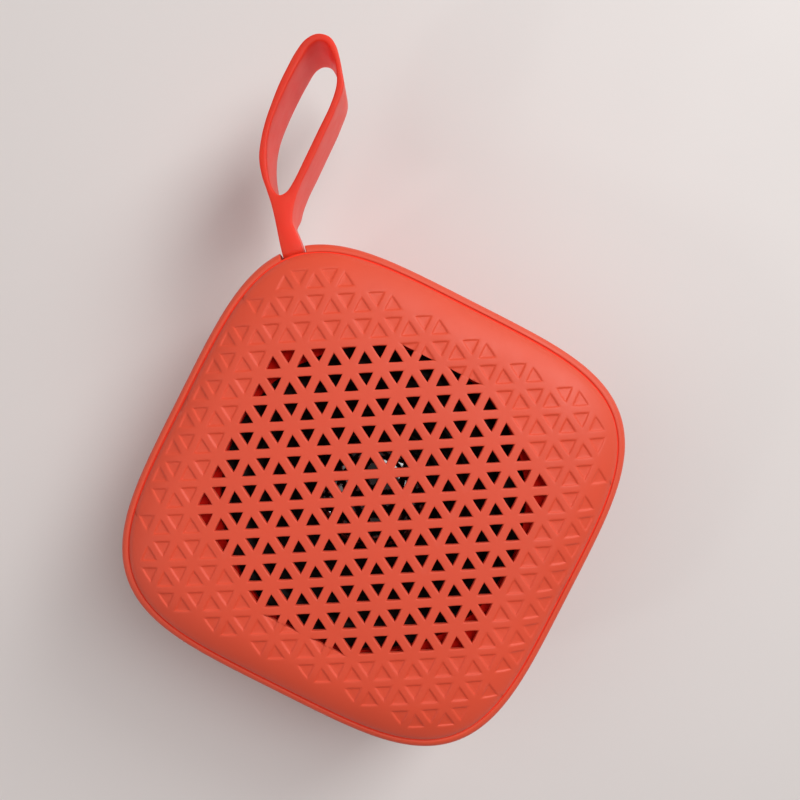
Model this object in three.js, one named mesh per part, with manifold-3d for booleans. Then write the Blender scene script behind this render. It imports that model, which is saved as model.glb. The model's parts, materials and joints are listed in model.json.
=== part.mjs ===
// Portable loudspeaker: a rounded-square case with a triangular-lattice grille and a
// silicone carry loop on one corner. Millimetres, +Z up. The speaker lies on its back:
// the origin is the centre of the rubber pad's underside and the grille faces +Z.
import * as THREE from 'three';
import { mergeVertices, mergeGeometries } from 'three/addons/utils/BufferGeometryUtils.js';
import Module from 'manifold-3d';

const wasm = await Module();
wasm.setup();

// ---------------------------------------------------------------- driving dimensions
const PITCH = 5.85;            // grille lattice pitch
const BAR = 1.70;              // width of a grille bar
const FRONT = 40.0;            // height of the flat of the grille
const CASE = 43.2;             // half width of the case at its widest
const CASE_N = 4.0;            // superellipse exponent of the case
const EDGE = 41.4;             // half width of the front cover's edge
const EDGE_N = 4.1;
const WALL_IN = 41.1;          // half width inside the case wall
const REBATE = 41.75;          // half width of the rebate that takes the front cover
const RIM = 35.6;              // height of the rear shell's front edge
const FLOOR = 2.9;             // height of the inside floor
const PAD = 1.0;               // how far the rubber pad stands proud of the back
const SCREW_XY = 27.9;         // case screw positions
const EAR_XY = 23.76;          // driver screw positions
const GAP = 0.3;
const STRAP_DIR = 131 * Math.PI / 180;   // direction in which the strap leaves the case
const HINGE_R = 50.6;          // station of the strap's bending axis along its own direction
const HINGE_AT = [-35.7, 35.7]; // the bending axis, at the mouth of the notch
const PIN_R = 46.0;            // station of the strap pin
const KEY_X = [-19.5, -6.5, 6.5, 19.5];
const KEY_Z = 24.0;
const PORT_Z = 14.5;
const SEG = 48;

const object = new THREE.Group();
object.name = 'speaker';
const V = (x, y, z) => new THREE.Vector3(x, y, z);

// ---------------------------------------------------------------- solid helpers
function closed(geometry) {
  let g = geometry.clone();
  for (const k of Object.keys(g.attributes)) if (k !== 'position') g.deleteAttribute(k);
  g = mergeVertices(g, 1e-4);
  const p = g.attributes.position, ix = g.index.array, keep = [];
  let vol = 0;
  const a = V(), b = V(), c = V();
  for (let i = 0; i < ix.length; i += 3) {
    const [i0, i1, i2] = [ix[i], ix[i + 1], ix[i + 2]];
    if (i0 === i1 || i1 === i2 || i0 === i2) continue;
    keep.push(i0, i1, i2);
    a.fromBufferAttribute(p, i0); b.fromBufferAttribute(p, i1); c.fromBufferAttribute(p, i2);
    vol += a.dot(b.cross(c));
  }
  if (vol < 0) for (let i = 0; i < keep.length; i += 3) [keep[i + 1], keep[i + 2]] = [keep[i + 2], keep[i + 1]];
  g.setIndex(keep);
  return g;
}
function solid(geometry) {
  const g = closed(geometry);
  return new wasm.Manifold(new wasm.Mesh({
    numProp: 3,
    vertProperties: new Float32Array(g.attributes.position.array),
    triVerts: new Uint32Array(g.index.array),
  }));
}
function geometryOf(manifold) {
  const m = manifold.asOriginal().getMesh();
  const g = new THREE.BufferGeometry();
  g.setAttribute('position', new THREE.BufferAttribute(new Float32Array(m.vertProperties), 3));
  g.setIndex(Array.from(m.triVerts));
  return g;
}
const join = (first, ...rest) => rest.reduce((s, r) => s.add(r), first).asOriginal();
const cut = (first, ...rest) => rest.reduce((s, r) => s.subtract(r), first).asOriginal();

function box(x0, x1, y0, y1, z0, z1) {
  return new THREE.BoxGeometry(x1 - x0, y1 - y0, z1 - z0)
    .translate((x0 + x1) / 2, (y0 + y1) / 2, (z0 + z1) / 2);
}
function cylZ(r, z0, z1, x = 0, y = 0, n = 12) {
  return new THREE.CylinderGeometry(r, r, z1 - z0, n).rotateX(Math.PI / 2).translate(x, y, (z0 + z1) / 2);
}
function cylY(r, y0, y1, x = 0, z = 0, n = 12) {
  return new THREE.CylinderGeometry(r, r, y1 - y0, n).translate(x, (y0 + y1) / 2, z);
}
// closed profile of [radius, height] pairs turned round Z
function turned(profile, n = 24) {
  const pts = profile.map(([r, z]) => new THREE.Vector2(r, z));
  if (profile[0][0] > 1e-6 || profile[profile.length - 1][0] > 1e-6) pts.push(pts[0].clone());
  return new THREE.LatheGeometry(pts, n).rotateX(Math.PI / 2);
}
function shapeOf(points) {
  return new THREE.Shape(points.map(([x, y]) => new THREE.Vector2(x, y)));
}
function plate(points, z0, z1) {
  return new THREE.ExtrudeGeometry(shapeOf(points), { depth: z1 - z0, bevelEnabled: false }).translate(0, 0, z0);
}
function circlePts(r, n, x = 0, y = 0) {
  return Array.from({ length: n }, (_, i) => {
    const t = i / n * 2 * Math.PI;
    return [x + r * Math.cos(t), y + r * Math.sin(t)];
  });
}
function superPts(a, e, n = SEG) {
  return Array.from({ length: n }, (_, i) => {
    // angles gather towards the rounded corners
    const q = Math.floor(i / (n / 4)), u = ((i % (n / 4)) + 0.5) / (n / 4) * Math.PI / 2;
    const t = q * Math.PI / 2 + 0.45 * u + 0.55 * Math.atan2(Math.sqrt(Math.sin(u)), Math.sqrt(Math.cos(u)));
    const r = a / Math.pow(Math.pow(Math.abs(Math.cos(t)), e) + Math.pow(Math.abs(Math.sin(t)), e), 1 / e);
    return [r * Math.cos(t), r * Math.sin(t)];
  });
}
function roundRect(w, h, r, n = 5, x = 0, y = 0) {
  const pts = [];
  for (const [cx, cy, a0] of [[w / 2 - r, h / 2 - r, 0], [-w / 2 + r, h / 2 - r, 90], [-w / 2 + r, -h / 2 + r, 180], [w / 2 - r, -h / 2 + r, 270]])
    for (let i = 0; i <= n; i++) {
      const t = (a0 + 90 * i / n) * Math.PI / 180;
      pts.push([x + cx + r * Math.cos(t), y + cy + r * Math.sin(t)]);
    }
  return pts;
}
// prism along Y of a section drawn in x and z
function barY(points, y0, y1) {
  return plate(points.map(([x, z]) => [x, -z]), y0, y1).rotateX(-Math.PI / 2);
}
// skin over a stack of rings that all have the same number of points
function loft(rings) {
  const n = rings[0].length, pos = [], idx = [];
  for (const ring of rings) for (const p of ring) pos.push(p[0], p[1], p[2]);
  for (let k = 0; k + 1 < rings.length; k++)
    for (let i = 0; i < n; i++) {
      const j = (i + 1) % n, a = k * n + i, b = k * n + j, c = a + n, d = b + n;
      idx.push(a, b, d, a, d, c);
    }
  for (const [k, flip] of [[0, true], [rings.length - 1, false]]) {
    const c = pos.length / 3, m = [0, 0, 0];
    for (const p of rings[k]) for (let q = 0; q < 3; q++) m[q] += p[q] / n;
    pos.push(...m);
    for (let i = 0; i < n; i++) {
      const j = (i + 1) % n;
      if (flip) idx.push(c, k * n + j, k * n + i); else idx.push(c, k * n + i, k * n + j);
    }
  }
  const g = new THREE.BufferGeometry();
  g.setAttribute('position', new THREE.BufferAttribute(new Float32Array(pos), 3));
  g.setIndex(idx);
  return g;
}
const ringsOf = (table, e) => table.map(([z, a]) => superPts(a, e).map(([x, y]) => [x, y, z]));
// tube along a smooth curve
function tube(points, r, steps, sides = 8) {
  const curve = new THREE.CatmullRomCurve3(points.map((p) => V(...p)));
  return new THREE.ExtrudeGeometry(shapeOf(circlePts(r, sides)), { steps, extrudePath: curve, bevelEnabled: false });
}

function add(name, geometry, color, roughness = 0.5, metalness = 0) {
  const g = closed(geometry).toNonIndexed();
  g.computeVertexNormals();
  const mesh = new THREE.Mesh(g, new THREE.MeshStandardMaterial({ color, roughness, metalness }));
  mesh.name = name;
  object.add(mesh);
  return mesh;
}

const RED = 0xe05842, SILICONE = 0xe4523a, DARK = 0x161618, STEEL = 0xb9bcc0, PCB = 0x1d5a36;
const corners = (d) => [[d, d], [-d, d], [-d, -d], [d, -d]];
const sd = [Math.cos(STRAP_DIR), Math.sin(STRAP_DIR)];      // along the strap
const sn = [-sd[1], sd[0]];                                   // across the strap
const along = (u, v = 0) => [HINGE_AT[0] + sd[0] * (u - HINGE_R) + sn[0] * v, HINGE_AT[1] + sd[1] * (u - HINGE_R) + sn[1] * v];
const [PIN_X, PIN_Y] = along(PIN_R);
const [HX, HY] = along(HINGE_R);
const slab = (u0, u1, w, z0, z1) => plate([along(u0, -w), along(u1, -w), along(u1, w), along(u0, w)], z0, z1);

// ---------------------------------------------------------------- front cover
function zTop(s) {
  const a = Math.max(0, s - 14) / 22, b = Math.max(0, s - 33) / 8.4;
  return FRONT - 0.9 * a * a - 2.7 * Math.pow(b, 2.6);
}
const H = PITCH * Math.sqrt(3) / 2;
function latticeCells() {
  const cells = [];
  for (let k = -9; k < 9; k++)
    for (let j = -16; j <= 16; j++) {
      const odd = ((k % 2) + 2) % 2, up = ((j + odd) % 2 + 2) % 2 === 1;
      cells.push({ x: k * H + (up ? H / 3 : 2 * H / 3), y: j * PITCH / 2, dir: up ? 1 : -1 });
    }
  return cells;
}
function cellTriangle(c, side) {
  const r = side / Math.sqrt(3), a0 = c.dir > 0 ? 0 : Math.PI;
  return [0, 1, 2].map((i) => {
    const t = a0 + i * 2 * Math.PI / 3;
    return [c.x + r * Math.cos(t), c.y + r * Math.sin(t)];
  });
}
function clipY(poly, limit) {
  const out = [];
  for (let i = 0; i < poly.length; i++) {
    const p = poly[i], q = poly[(i + 1) % poly.length];
    const pin = Math.abs(p[1]) <= limit, qin = Math.abs(q[1]) <= limit;
    if (pin) out.push(p);
    if (pin !== qin) {
      const lim = Math.sign((pin ? q : p)[1]) * limit, t = (lim - p[1]) / (q[1] - p[1]);
      out.push([p[0] + t * (q[0] - p[0]), lim]);
    }
  }
  return out;
}
{
  const outer = loft([
    ...ringsOf([[33.3, EDGE], [zTop(EDGE), EDGE], [zTop(40.6), 40.6], [zTop(39.0), 39.0], [zTop(36.4), 36.4], [FRONT, 31.6]], EDGE_N),
  ]);
  const t = 1.45;
  const inner = loft([
    ...ringsOf([[32, EDGE - 1.5], [zTop(EDGE) - 1.1, EDGE - 1.5], [zTop(39.0) - t, 38.2], [zTop(36.4) - t, 36.0], [FRONT - t, 31.4]], EDGE_N),
  ]);
  let cover = cut(solid(outer), solid(inner));
  // bosses for the case screws and pins that hold the baffle
  const bosses = corners(SCREW_XY).map(([x, y]) => solid(cylZ(2.5, 33.6, 38.4, x, y)));
  const stakes = [[34.2, 0], [-34.2, 0], [0, 34.2], [0, -34.2]].map(([x, y]) => solid(cylZ(1.2, 34.9, 38.4, x, y, 10)));
  cover = join(cover, ...bosses, ...stakes);
  cover = cut(cover, ...corners(SCREW_XY).map(([x, y]) => solid(cylZ(1.25, 30, 37.2, x, y, 10))));
  cover = cut(cover, solid(slab(43.2, 53.0, 2.7, 30, 35.6)));
  const holes = [];
  const side = PITCH - BAR * Math.sqrt(3), top = 5 * PITCH - 0.1;
  for (const c of latticeCells()) {
    if (Math.abs(c.x) > 6 * H || Math.abs(c.y) > top + 0.2) continue;
    if (Math.abs(c.y) + Math.abs(c.x) / Math.sqrt(3) > 6 * PITCH - 0.1) continue;
    const poly = clipY(cellTriangle(c, side), top);
    if (poly.length >= 3) holes.push(closed(plate(poly, 37.5, 41)));
  }
  cover = cut(cover, solid(mergeGeometries(holes)));
  add('front_cover', geometryOf(cover), RED, 0.55);
}

// ---------------------------------------------------------------- rear shell
const OUTER = [[PAD, 31.0], [1.5, 33.0], [3.4, 36.2], [7, 39.1], [13, 41.4], [21, 42.7], [33.8, CASE], [35.1, 43.0], [RIM, 42.6]];
const INNER = [[FLOOR, 31.6], [4.6, 34.6], [8, 37.3], [13, 39.2], [21, 40.6]];
{
  const outer = solid(loft(ringsOf(OUTER, CASE_N)));
  const inner = solid(loft([...ringsOf(INNER, 4.03), ...ringsOf([[33.0, WALL_IN]], 4.03), ...ringsOf([[33.0, REBATE]], 4.07), ...ringsOf([[40, REBATE]], 4.07)]));
  let shell = cut(outer, inner);
  const inside = [];
  for (const [x, y] of corners(SCREW_XY)) inside.push(solid(cylZ(2.7, 2.0, 33.2, x, y)));
  inside.push(solid(cylZ(2.2, 2.0, 27.2, PIN_X, PIN_Y, 12)));
  inside.push(solid(slab(PIN_R, 50, 1.0, 4, 27.2)));
  for (const s of [-1, 1]) {
    const rail = cut(solid(box(24.2, 27.4, 32.0, 36.4, 2.5, 21)), solid(box(24.0, 25.3, 33.3, 35.1, 8.7, 22)));
    inside.push(s > 0 ? rail : rail.mirror([1, 0, 0]));
    inside.push(solid(box(s > 0 ? 22.6 : -23.8, s > 0 ? 23.8 : -22.6, -12, 6, 2.5, 7.0)));
  }
  inside.push(solid(box(-12, 12, -21.8, -20.6, 2.5, 7.0)));
  shell = shell.add(join(...inside).intersect(outer));
  const cuts = [];
  for (const [x, y] of corners(SCREW_XY)) {
    cuts.push(solid(cylZ(1.45, 0, 34, x, y, 10)));
    cuts.push(solid(cylZ(2.45, 0, 5.4, x, y)));
  }
  cuts.push(solid(cylZ(1.3, 22.2, 28, PIN_X, PIN_Y, 12)));
  cuts.push(solid(plate(roundRect(44.6, 44.6, 9, 6), 0, 1.9)));
  cuts.push(solid(slab(46.6, 54, 2.55, 27.2, 41)));
  for (const x of KEY_X) cuts.push(solid(barY(roundRect(9.0, 4.4, 2.19, 4, x, KEY_Z), 39.0, 46)));
  cuts.push(solid(barY(roundRect(9.4, 4.6, 1.6, 3, 7, PORT_Z), 37, 46)));
  cuts.push(solid(cylY(3.6, 37, 46, -3.5, PORT_Z, 20)));
  cuts.push(solid(barY(roundRect(12.6, 2.6, 0.9, 2, -16, PORT_Z), 36, 46)));
  cuts.push(solid(barY(roundRect(6.2, 2.8, 0.9, 2, 18.5, PORT_Z), 36, 46)));
  cuts.push(solid(cylY(1.3, 39, 46, 0, 19.2)));
  cuts.push(solid(cylY(0.55, 38, 46, 13, 19.2, 12)));
  shell = cut(shell, ...cuts);
  add('rear_shell', geometryOf(shell), RED, 0.55);
}
{
  const z = [[0, 21.3], [0.25, 21.7], [0.8, 21.95], [1.6, 21.95]];
  add('back_pad', loft(z.map(([h, a]) => roundRect(2 * a, 2 * a, 8.5, 6).map(([x, y]) => [x, y, h]))), 0x2a2a2c, 0.85);
}

// ---------------------------------------------------------------- carry strap
const BAND_LOW = 20.0, BAND_HIGH = 35.4, STEM_LOW = 27.5;
{
  const ring = plate(circlePts(2.4, 20, PIN_X, PIN_Y), STEM_LOW, 35.0);
  let root = join(solid(ring), solid(slab(PIN_R, HINGE_R - 0.4, 2.05, STEM_LOW, 35.0)));
  root = cut(root, solid(cylZ(1.3, 20, 40, PIN_X, PIN_Y, 20)), solid(cylZ(2.4, 20, 40, HX, HY, 24)));
  add('strap_anchor', geometryOf(root), SILICONE, 0.45);
  add('strap_pin', cylZ(1.0, 22.5, 35.3, PIN_X, PIN_Y, 20), STEEL, 0.3, 1);
}
const LOOP_OUT = [[-39.85, 37.62], [-42.1, 40.4], [-43.85, 42.42], [-45.86, 44.42], [-47.86, 46.42], [-49.86, 49.3], [-51.2, 53.0], [-52.4, 60.0], [-52.76, 66.53], [-52.6, 70.8], [-51.96, 73.74], [-50.4, 75.7], [-48.06, 76.24], [-46.2, 75.3], [-44.86, 73.94], [-43.0, 71.6], [-41.25, 69.04], [-40.6, 64.0], [-40.45, 58.73], [-40.3, 53.0], [-40.25, 48.03], [-39.85, 44.42], [-38.35, 40.92], [-37.2, 39.8]];
const LOOP_IN = [[-43.26, 44.32], [-45.06, 45.02], [-46.76, 47.12], [-48.46, 49.82], [-49.86, 53.03], [-50.96, 58.73], [-51.2, 64.0], [-51.1, 69.44], [-50.7, 73.0], [-49.6, 74.5], [-48.06, 74.84], [-46.6, 74.0], [-44.86, 72.34], [-42.75, 69.0], [-41.95, 65.0], [-41.86, 58.43], [-41.8, 53.0], [-41.76, 48.03], [-42.1, 45.4]];
const smooth = (pts, n) => new THREE.SplineCurve([...pts, pts[0]].map(([x, y]) => new THREE.Vector2(x, y))).getPoints(n).slice(0, -1).map((p) => [p.x, p.y]);
{
  const band = cut(solid(plate(smooth(LOOP_OUT, 52), BAND_LOW, BAND_HIGH)), solid(plate(smooth(LOOP_IN, 42), BAND_LOW - 1, BAND_HIGH + 1)));
  const stem = join(
    solid(plate(circlePts(2.05, 20, HX, HY), STEM_LOW, BAND_HIGH)),
    solid(slab(HINGE_R, 57.5, 2.05, STEM_LOW, BAND_HIGH)));
  let loop = join(band, stem);
  // the fork of the band is trimmed back to the stem's depth near the case
  const trim = solid(loft([
    [along(HINGE_R - 4, -8), along(60.6, -8), along(60.6, 8), along(HINGE_R - 4, 8)].map(([x, y]) => [x, y, 15]),
    [along(HINGE_R - 4, -8), along(56.5, -8), along(56.5, 8), along(HINGE_R - 4, 8)].map(([x, y]) => [x, y, STEM_LOW]),
  ]));
  loop = cut(loop, trim);
  add('strap_loop', geometryOf(loop), SILICONE, 0.45);
}

// ---------------------------------------------------------------- baffle and driver
{
  let baffle = solid(plate(superPts(36.2, 4.1, 36), 35.3, 36.9));
  baffle = cut(baffle, solid(cylZ(29.8, 30, 40, 0, 0, 32)),
    ...corners(SCREW_XY).map(([x, y]) => solid(cylZ(2.9, 30, 40, x, y, 12))),
    ...corners(EAR_XY).map(([x, y]) => solid(cylZ(1.3, 30, 40, x, y, 10))),
    ...[[34.2, 0], [-34.2, 0], [0, 34.2], [0, -34.2]].map(([x, y]) => solid(cylZ(1.5, 30, 40, x, y, 10))));
  add('baffle', geometryOf(baffle), 0xa02018, 0.5);
}
{
  let basket = solid(turned([[10.6, 22.6], [20.5, 22.6], [28.9, 32.6], [31.5, 32.6], [31.5, 33.9], [28.0, 33.9], [28.0, 33.1], [20.6, 24.1], [20.1, 24.7], [17.6, 24.7], [17.6, 23.7], [10.6, 23.7]], 24));
  basket = join(basket, ...corners(EAR_XY).map(([x, y]) => join(solid(cylZ(2.8, 32.6, 33.9, x, y, 12)), solid(cylZ(3.4, 32.6, 33.9, x * 0.94, y * 0.94, 12)))));
  basket = join(basket, solid(box(-2, 2, 25.2, 29.0, 28.4, 29.6)));
  const windows = [];
  for (let i = 0; i < 4; i++) {
    const w = box(21.0, 31.0, -9, 9, 25.6, 31.4);
    windows.push(solid(w.rotateZ(i * Math.PI / 2 + Math.PI / 4)));
  }
  basket = cut(basket, ...windows, ...corners(EAR_XY).map(([x, y]) => solid(cylZ(1.35, 30, 36, x, y, 10))));
  add('driver_basket', geometryOf(basket), 0x2b2c2f, 0.4, 0.8);
}
add('driver_gasket', turned([[29.9, 34.2], [31.5, 34.2], [31.5, 35.0], [29.9, 35.0]]), 0x1b1b1b, 0.95);
add('surround', turned([[22.7, 34.2], [24.3, 34.2], [25.2, 35.4], [26.9, 35.4], [27.8, 34.2], [29.6, 34.2], [29.6, 34.6], [28.1, 34.6], [27.1, 35.9], [25.0, 35.9], [24.0, 34.6], [22.7, 34.6]]), 0x121213, 0.6);
add('cone', turned([[9.95, 28.0], [11.0, 28.0], [22.8, 33.1], [24.0, 33.4], [24.0, 33.9], [22.6, 33.7], [10.9, 28.6], [9.95, 28.6]]), 0x0d0d0e, 0.35);
add('dust_cap', turned([[0, 33.9], [4.2, 33.6], [8.2, 32.5], [11.5, 30.7], [13.0, 30.1], [13.0, 29.8], [11.2, 30.3], [8.0, 32.0], [4.1, 33.15], [0, 33.45]]), 0x0a0a0b, 0.12);
add('voice_coil', turned([[8.95, 19.9], [9.6, 19.9], [9.6, 24.2], [9.25, 24.2], [9.25, 29.0], [8.95, 29.0]]), 0xa8672e, 0.4, 0.6);
add('spider', turned([[9.95, 25.0], [11.4, 25.0], [12.9, 25.8], [14.4, 25.0], [15.9, 25.8], [17.4, 25.0], [20.1, 25.0], [20.1, 25.35], [17.6, 25.35], [15.9, 26.2], [14.4, 25.45], [12.9, 26.2], [11.2, 25.35], [9.95, 25.35]]), 0xc8a55a, 0.9);
add('top_plate', turned([[10.0, 19.8], [18.0, 19.8], [18.0, 22.3], [10.0, 22.3]]), STEEL, 0.35, 1);
add('magnet', turned([[11.0, 13.0], [20.0, 13.0], [20.0, 19.5], [11.0, 19.5]]), 0x2a2a2c, 0.7, 0.2);
add('yoke', turned([[0, 9.9], [18.0, 9.9], [18.5, 10.4], [18.5, 12.7], [8.6, 12.7], [8.6, 22.3], [0, 22.3]]), STEEL, 0.35, 1);
add('terminal_strip', box(-6, 6, 29.3, 30.3, 26.5, 31.5), 0x8a5a2a, 0.6);

// ---------------------------------------------------------------- electronics
add('main_pcb', box(-25, 25, 33.6, 34.8, 9.0, 29.5), PCB, 0.5);
add('radio_module', box(-24, -10, 31.1, 33.3, 10, 22), 0xc8cacc, 0.3, 1);
add('amplifier_chip', box(8, 13, 31.7, 33.3, 17, 21), DARK, 0.4);
add('capacitor', cylY(2.5, 27.0, 33.3, 18, 15, 24), 0x24406e, 0.4, 0.3);
add('battery_connector', geometryOf(cut(solid(box(-3.2, 3.2, 29.2, 33.3, 9.6, 13.2)), solid(box(-2.4, 2.4, 28.5, 31.5, 10.3, 12.5)))), 0xe8e4d8, 0.5);
{
  let s = cut(solid(box(3.2, 10.8, 35.1, 38.6, 13.1, 15.9)), solid(box(3.65, 10.35, 36.0, 39, 13.55, 15.45)));
  s = join(s, solid(box(4.6, 9.4, 35.6, 38.2, 14.15, 14.75)));
  add('usb_socket', geometryOf(s), 0xc8cacc, 0.25, 1);
}
add('audio_jack', geometryOf(cut(join(solid(box(-6.8, -0.2, 35.1, 38.0, 11.5, 17.5)), solid(cylY(2.9, 37.8, 38.9, -3.5, PORT_Z, 24))), solid(cylY(1.8, 35.9, 40, -3.5, PORT_Z, 20)))), DARK, 0.4);
add('card_slot', geometryOf(cut(solid(box(-22.5, -9.5, 35.1, 37.4, 13.5, 15.5)), solid(box(-21.7, -10.3, 35.8, 38, 14.0, 15.0)))), 0xc8cacc, 0.3, 1);
add('switch_body', geometryOf(cut(solid(box(14.5, 22.5, 35.1, 37.0, 12.5, 16.5)), solid(box(15.6, 21.4, 35.9, 38, 13.5, 15.5)))), 0xb9bcc0, 0.35, 0.9);
add('switch_knob', geometryOf(join(solid(box(15.9, 19.1, 36.2, 37.6, 13.8, 15.2)), solid(box(16.5, 18.5, 37.4, 41.4, 13.85, 15.15)))), DARK, 0.5);
add('status_led', box(-0.9, 0.9, 35.1, 36.0, 18.6, 19.8), 0xf3f3e8, 0.2);
add('light_pipe', turned([[0, 36.4], [1.0, 36.4], [1.0, 42.1], [0.7, 42.4], [0, 42.4]], 20).rotateX(-Math.PI / 2).translate(0, 0, 19.2), 0xf0f0f0, 0.15);
add('microphone', cylY(2.0, 35.1, 37.4, 13, 19.2, 24), STEEL, 0.35, 0.9);

const KEY_NAMES = ['phone', 'minus', 'plus', 'play'];
KEY_X.forEach((x, i) => {
  const n = KEY_NAMES[i];
  const face = i === 0 || i === 3 ? 42.95 : 43.4;
  add(`tact_switch_${n}`, geometryOf(cut(solid(box(x - 3, x + 3, 35.1, 36.8, KEY_Z - 1.8, KEY_Z + 1.8)), solid(cylY(1.5, 35.8, 37.5, x, KEY_Z, 16)))), DARK, 0.5);
  add(`tact_plunger_${n}`, cylY(1.2, 36.2, 37.6, x, KEY_Z, 16), 0xd8d8d4, 0.5);
  let key = solid(barY(roundRect(8.4, 3.8, 1.89, 4, x, KEY_Z), 38.4, face));
  key = join(key, solid(barY(roundRect(9.8, 5.4, 1.5, 3, x, KEY_Z), 37.9, 38.7)));
  add(`key_${n}`, geometryOf(key), RED, 0.5);
});

// ---------------------------------------------------------------- battery
add('battery_cell', loft([[4.2, 0.5], [4.7, 0], [8.7, 0], [9.2, 0.5]].map(([z, d]) => roundRect(44 - 2 * d, 34 - 2 * d, 2, 3, 0, -3).map(([x, y]) => [x, y, z]))), 0xb8bcc2, 0.35, 0.6);
add('battery_foam', box(-19, 19, -17, 11, 3.2, 3.9), 0x3a3a3c, 0.95);

// ---------------------------------------------------------------- inner wires
add('battery_wire_red', tube([[1.2, 14.4, 6.8], [1.3, 18, 6.4], [1.3, 23, 6.6], [1.2, 26.5, 8.6], [1.2, 28.4, 11.2], [1.2, 31.0, 11.4]], 0.45, 9), 0xc02020, 0.5);
add('battery_wire_black', tube([[-1.2, 14.4, 6.8], [-1.3, 18, 6.4], [-1.3, 23, 6.6], [-1.2, 26.5, 8.6], [-1.2, 28.4, 11.2], [-1.2, 31.0, 11.4]], 0.45, 9), 0x151515, 0.5);
add('driver_wire_red', tube([[-4.5, 30.9, 30.6], [-4.6, 31.9, 30.2], [-4.8, 32.2, 28.2], [-5.0, 32.4, 26.0], [-5.0, 33.2, 25.2]], 0.45, 8), 0xc02020, 0.5);
add('driver_wire_black', tube([[4.5, 30.9, 30.6], [4.6, 31.9, 30.2], [4.8, 32.2, 28.2], [5.0, 32.4, 26.0], [5.0, 33.2, 25.2]], 0.45, 8), 0x151515, 0.5);

// ---------------------------------------------------------------- fasteners
function screwGeometry(x, y, zHead, zTip, rHead, hHead, rShank) {
  const head = turned([[0, 0], [rHead * 0.8, 0], [rHead, hHead * 0.35], [rHead, hHead], [rShank, hHead], [rShank, zTip - zHead - 0.6], [rShank * 0.4, zTip - zHead], [0, zTip - zHead]], 10).translate(x, y, zHead);
  const s = rHead * 1.3, w = rHead * 0.17, d = hHead * 0.45;
  const cross = join(solid(box(x - s / 2, x + s / 2, y - w, y + w, zHead - 1, zHead + d)), solid(box(x - w, x + w, y - s / 2, y + s / 2, zHead - 1, zHead + d)));
  return geometryOf(cut(solid(head), cross));
}
corners(SCREW_XY).forEach(([x, y], i) => add(`case_screw_${i + 1}`, screwGeometry(x, y, 3.6, 36.8, 2.1, 1.5, 0.95), STEEL, 0.35, 1));
corners(EAR_XY).forEach(([x, y], i) => add(`driver_screw_${i + 1}`, screwGeometry(x, y, 31.0, 36.6, 2.0, 1.3, 0.95), STEEL, 0.35, 1));

export default object;
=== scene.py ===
# Looks for the portable speaker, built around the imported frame. Lengths in mm unless a name says _m.
import bpy, bmesh, json, math, random
import numpy as np
from mathutils import Vector, Matrix
from mathutils.geometry import delaunay_2d_cdt


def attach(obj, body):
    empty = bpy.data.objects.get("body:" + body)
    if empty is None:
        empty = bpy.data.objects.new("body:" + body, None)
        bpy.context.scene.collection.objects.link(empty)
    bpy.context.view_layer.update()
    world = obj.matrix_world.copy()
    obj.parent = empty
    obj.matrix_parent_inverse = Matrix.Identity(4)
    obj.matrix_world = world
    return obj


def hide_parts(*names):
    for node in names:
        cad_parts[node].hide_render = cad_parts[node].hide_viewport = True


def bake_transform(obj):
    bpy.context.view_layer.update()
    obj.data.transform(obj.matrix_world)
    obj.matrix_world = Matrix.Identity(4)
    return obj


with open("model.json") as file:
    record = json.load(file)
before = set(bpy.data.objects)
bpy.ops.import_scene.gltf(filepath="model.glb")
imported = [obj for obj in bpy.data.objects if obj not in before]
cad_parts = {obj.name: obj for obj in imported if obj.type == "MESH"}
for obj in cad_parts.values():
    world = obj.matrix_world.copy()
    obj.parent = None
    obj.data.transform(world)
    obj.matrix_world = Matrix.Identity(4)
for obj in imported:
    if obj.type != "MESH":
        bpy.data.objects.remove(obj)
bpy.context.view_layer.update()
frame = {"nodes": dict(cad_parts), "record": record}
N = frame["nodes"]
MM = 0.001
rng = random.Random(7)

# ------------------------------------------------------------------ shared dimensions (as in the CAD)
PITCH, BAR = 5.85, 1.70
FRONT = 40.0
EDGE, EDGE_N = 41.4, 4.1
CASE_N = 4.0
EAR_XY, SCREW_XY = 23.76, 27.9
STRAP_DIR = math.radians(131)
HINGE_R, PIN_R = 50.6, 46.0
HINGE_AT = (-35.7, 35.7)
KEY_X, KEY_Z, PORT_Z = [-19.5, -6.5, 6.5, 19.5], 24.0, 14.5
KEY_NAMES = ["phone", "minus", "plus", "play"]
SD = (math.cos(STRAP_DIR), math.sin(STRAP_DIR)); SN = (-SD[1], SD[0])


def along(u, v=0.0):
    return (HINGE_AT[0] + SD[0] * (u - HINGE_R) + SN[0] * v, HINGE_AT[1] + SD[1] * (u - HINGE_R) + SN[1] * v)


def uv(x, y):
    dx, dy = x - HINGE_AT[0], y - HINGE_AT[1]
    return HINGE_R + dx * SD[0] + dy * SD[1], dx * SN[0] + dy * SN[1]


# ------------------------------------------------------------------ camera
cam_data = bpy.data.cameras.new("camera")
cam = bpy.data.objects.new("camera", cam_data)
bpy.context.scene.collection.objects.link(cam)
cam_data.sensor_width, cam_data.lens = 36.0, 40.5
cam_data.clip_start, cam_data.clip_end = 0.01, 10
cam.matrix_world = Matrix(((0.892216, -0.451414, -0.013252, -0.006314),
                           (0.451599, 0.892005, 0.019643, 0.022906),
                           (0.002954, -0.02351, 0.999719, 0.211527),
                           (0, 0, 0, 1)))
bpy.context.scene.camera = cam
bpy.context.scene.view_settings.view_transform = "Standard"


# ------------------------------------------------------------------ helpers
def new_object(name, verts, faces, smooth_angle=35.0, scale=MM):
    me = bpy.data.meshes.new(name)
    me.from_pydata([tuple(c * scale for c in v) for v in verts], [], [tuple(f) for f in faces])
    me.validate(clean_customdata=False)
    ob = bpy.data.objects.new(name, me)
    bpy.context.scene.collection.objects.link(ob)
    if smooth_angle:
        shade(ob, smooth_angle)
    return ob


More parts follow.
